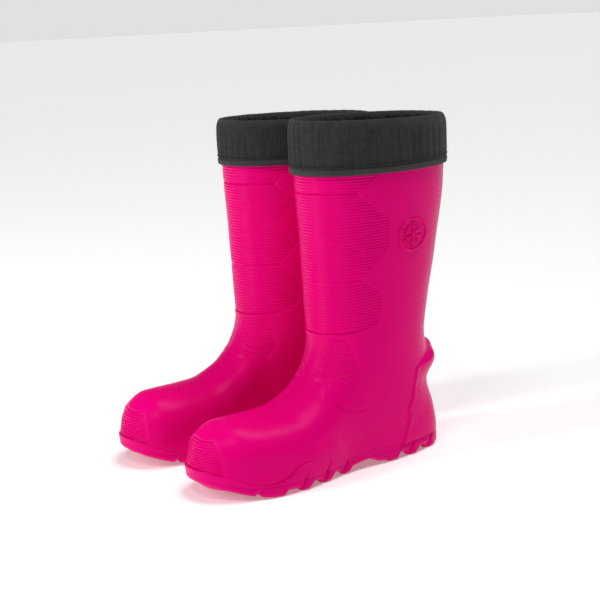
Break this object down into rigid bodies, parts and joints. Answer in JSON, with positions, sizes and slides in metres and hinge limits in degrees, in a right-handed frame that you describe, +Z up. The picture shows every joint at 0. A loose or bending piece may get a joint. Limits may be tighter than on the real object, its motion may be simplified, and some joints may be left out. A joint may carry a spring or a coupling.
{
  "type": "thermal wellington boot pair",
  "caption": "Pair of moulded foam winter wellingtons, each with a lift-out sock liner whose rib-knit cuff folds over the rim.",
  "frame": {"origin": "on the ground, at the centre of the pair's overall box", "axes": "+Z up, toes towards -Y, the wearer's left boot at +X"},
  "size_m": [0.253, 0.327, 0.3496],
  "materials": {
    "moulded_foam": "satin moulded foam",
    "sole_foam": "matt moulded foam",
    "rib_knit": "rib knit",
    "felt": "felt",
    "fleece": "curly fleece",
    "thread": "thread"
  },
  "bodies": {
    "shells": {"left_upper": "moulded_foam", "left_outsole": "sole_foam", "left_heel_counter": "moulded_foam", "left_emblem": "moulded_foam", "left_insole": "felt", "right_upper": "moulded_foam", "right_outsole": "sole_foam", "right_heel_counter": "moulded_foam", "right_emblem": "moulded_foam", "right_insole": "felt"},
    "left_liner": {"left_liner_leg": "felt", "left_liner_foot": "felt", "left_liner_sole": "felt", "left_liner_fleece": "fleece", "left_cuff": "rib_knit", "left_cuff_hem": "rib_knit", "left_hem_stitching": "thread"},
    "right_liner": {"right_liner_leg": "felt", "right_liner_foot": "felt", "right_liner_sole": "felt", "right_liner_fleece": "fleece", "right_cuff": "rib_knit", "right_cuff_hem": "rib_knit", "right_hem_stitching": "thread"}
  },
  "joints": [
    {"name": "left_liner_slide", "type": "slide", "parent": "shells", "child": "left_liner", "axis": [0, 0, 1], "range_m": [0, 0.34], "deforming": ["left_liner_foot", "left_liner_sole"]},
    {"name": "right_liner_slide", "type": "slide", "parent": "shells", "child": "right_liner", "axis": [0, 0, 1], "range_m": [0, 0.34], "deforming": ["right_liner_foot", "right_liner_sole"]}
  ]
}
